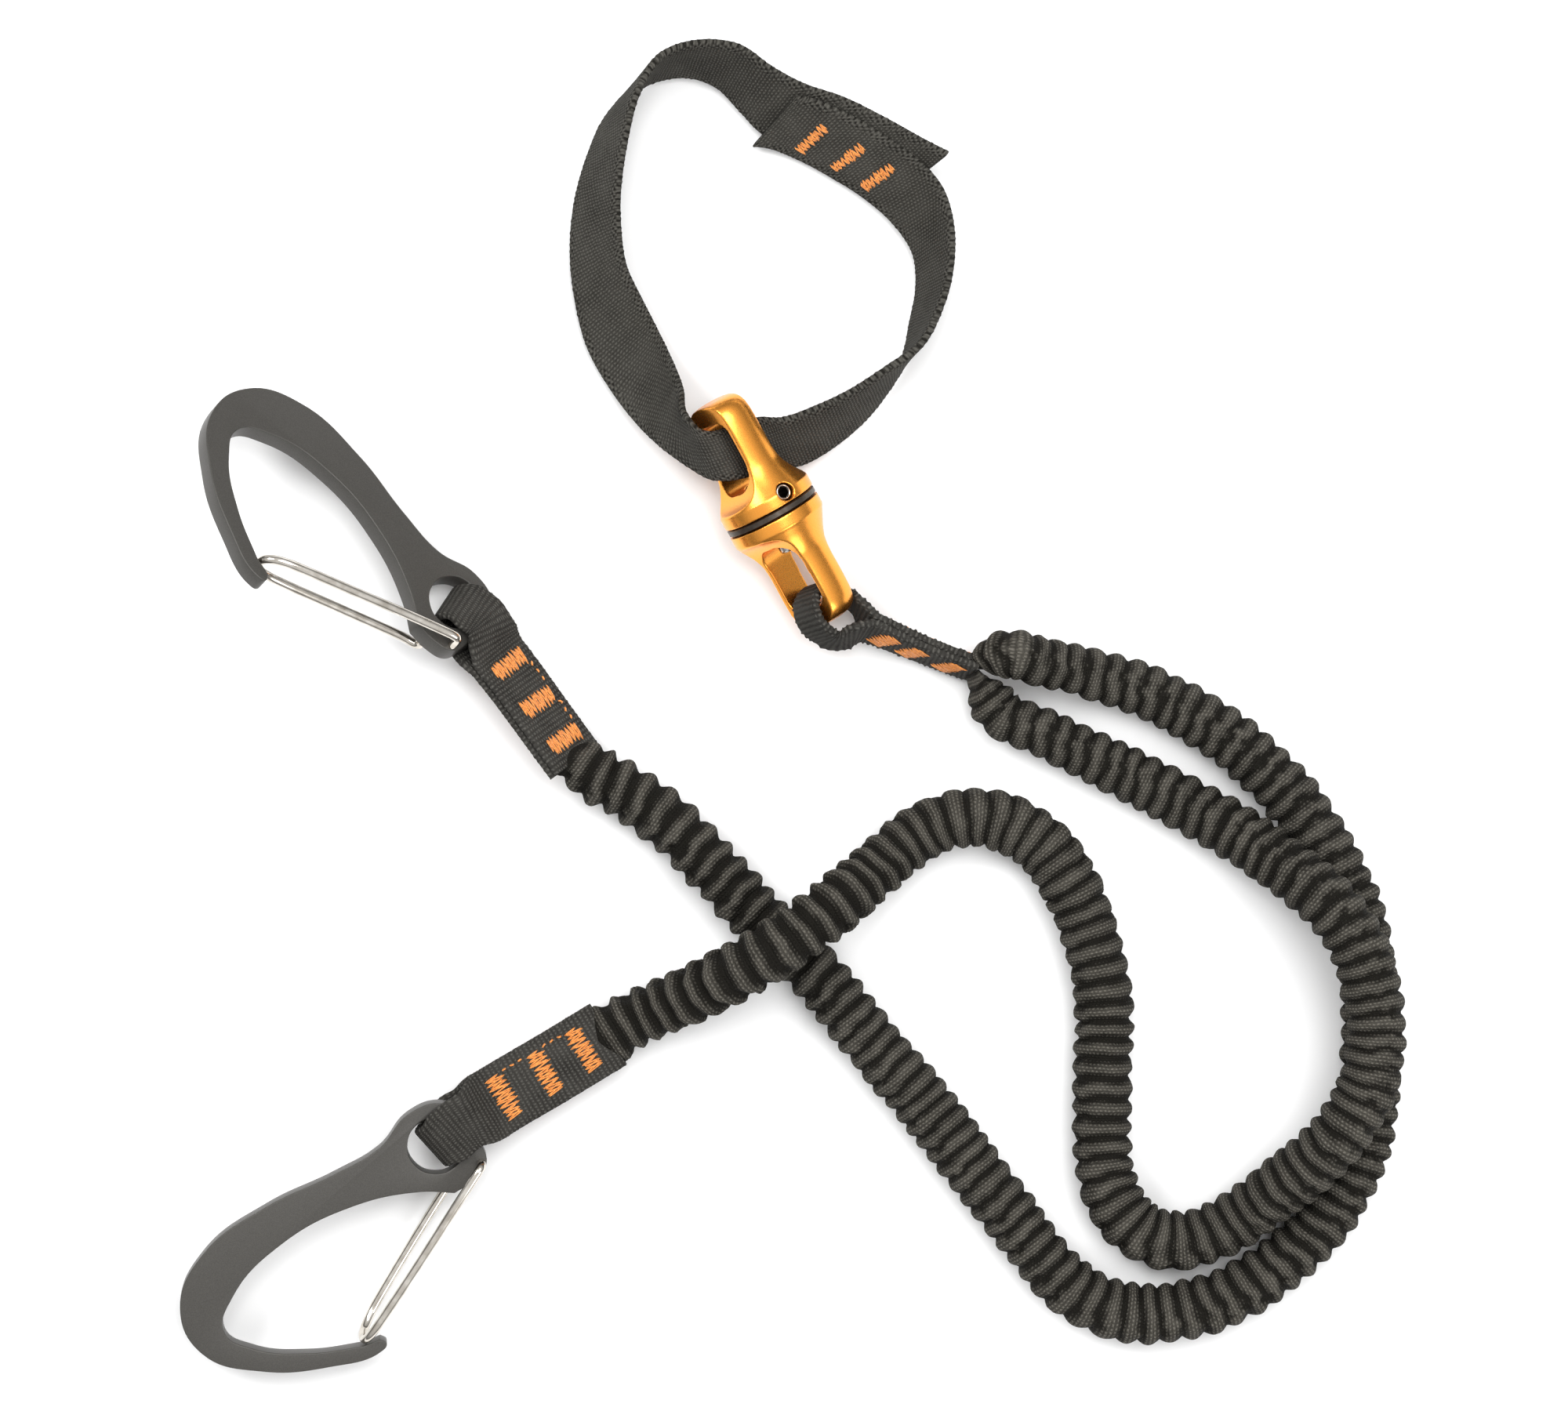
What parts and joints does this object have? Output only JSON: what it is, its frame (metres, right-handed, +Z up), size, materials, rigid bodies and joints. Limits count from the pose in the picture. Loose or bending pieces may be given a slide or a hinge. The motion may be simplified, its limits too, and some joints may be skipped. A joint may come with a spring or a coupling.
{
  "type": "climbing tool leash",
  "caption": "Elastic climbing tool leash: webbing sling loop, ball-bearing swivel, ruffled stretch arms, sewn end tabs and wire-gate mini carabiners.",
  "frame": {"origin": "on the surface the leash lies on, below the middle of the bounding box of everything but the free elastic arms", "axes": "+Z up, +Y from the end tabs' side towards the sling loop, +X from the carabiners towards the arms"},
  "size_m": [0.3098, 0.339, 0.0411],
  "materials": {
    "webbing_charcoal": "woven, matt",
    "thread_orange": "thread",
    "bungee_rubber": "matt",
    "anodised_orange": "satin anodised",
    "ring_grey": "satin",
    "coated_plate": "matt coated",
    "bright_steel": "polished"
  },
  "bodies": {
    "leash": {"join_webbing": "webbing_charcoal", "join_bartack_1": "thread_orange", "join_bartack_2": "thread_orange", "join_bartack_3": "thread_orange", "arm_a_sleeve": "webbing_charcoal", "arm_a_core": "bungee_rubber", "arm_b_sleeve": "webbing_charcoal", "arm_b_core": "bungee_rubber", "upper_tab_webbing": "webbing_charcoal", "upper_tab_bartack_1": "thread_orange", "upper_tab_bartack_2": "thread_orange", "upper_tab_bartack_3": "thread_orange", "lower_tab_webbing": "webbing_charcoal", "lower_tab_bartack_1": "thread_orange", "lower_tab_bartack_2": "thread_orange", "lower_tab_bartack_3": "thread_orange"},
    "swivel_lower": {"swivel_lower_body": "anodised_orange", "swivel_bearing_ring": "ring_grey"},
    "swivel_upper": {"swivel_upper_body": "anodised_orange", "swivel_axle": "bright_steel", "set_screw": "bright_steel"},
    "bearing_balls": {"bearing_ball_1": "bright_steel", "bearing_ball_2": "bright_steel", "bearing_ball_3": "bright_steel", "bearing_ball_4": "bright_steel", "bearing_ball_5": "bright_steel", "bearing_ball_6": "bright_steel", "bearing_ball_7": "bright_steel", "bearing_ball_8": "bright_steel"},
    "sling": {"sling_webbing": "webbing_charcoal", "sling_bartack_1": "thread_orange", "sling_bartack_2": "thread_orange", "sling_bartack_3": "thread_orange"},
    "upper_carabiner": {"upper_carabiner_body": "coated_plate"},
    "upper_gate": {"upper_carabiner_gate": "bright_steel"},
    "lower_carabiner": {"lower_carabiner_body": "coated_plate"},
    "lower_gate": {"lower_carabiner_gate": "bright_steel"}
  },
  "joints": [
    {"name": "swivel_pitch", "type": "hinge", "parent": "leash", "child": "swivel_lower", "pos_m": [0.06193, 0.02522, 0.01108], "axis": [0.6206, 0.2058, 0.7567], "range_deg": [-12, 12]},
    {"name": "swivel_spin", "type": "hinge", "parent": "swivel_lower", "child": "swivel_upper", "pos_m": [0.0481, 0.0503, 0.0156], "axis": [-0.477, 0.865, 0.156], "continuous": true},
    {"name": "ball_orbit", "type": "hinge", "parent": "swivel_lower", "child": "bearing_balls", "pos_m": [0.0481, 0.0503, 0.0156], "axis": [-0.477, 0.865, 0.156], "continuous": true},
    {"name": "sling_swing", "type": "hinge", "parent": "swivel_upper", "child": "sling", "pos_m": [0.03987, 0.06522, 0.01829], "axis": [0.5401, 0.1484, 0.8284], "range_deg": [0, 8]},
    {"name": "upper_carabiner_rock", "type": "hinge", "parent": "leash", "child": "upper_carabiner", "pos_m": [-0.02695, 0.02006, 0.01005], "axis": [-0.3927, -0.6634, 0.637], "range_deg": [-8, 8]},
    {"name": "upper_gate_hinge", "type": "hinge", "parent": "upper_carabiner", "child": "upper_gate", "pos_m": [-0.03397, 0.01604, 0.01707], "axis": [0.51, 0.4193, 0.7511], "range_deg": [-32, 0], "stiffness_Nm_per_rad": 0.05, "springref_deg": 34.38},
    {"name": "lower_carabiner_rock", "type": "hinge", "parent": "leash", "child": "lower_carabiner", "pos_m": [-0.0297, -0.10508, 0.0116], "axis": [0.649, -0.7466, -0.1461], "range_deg": [-8, 8]},
    {"name": "lower_gate_hinge", "type": "hinge", "parent": "lower_carabiner", "child": "lower_gate", "pos_m": [-0.02637, -0.11517, 0.01015], "axis": [0.0958, -0.1103, 0.9893], "range_deg": [-32, 0], "stiffness_Nm_per_rad": 0.05, "springref_deg": 34.38}
  ],
  "couplings": [
    {"joint": "ball_orbit", "follows": "swivel_spin", "ratio": 0.5}
  ]
}
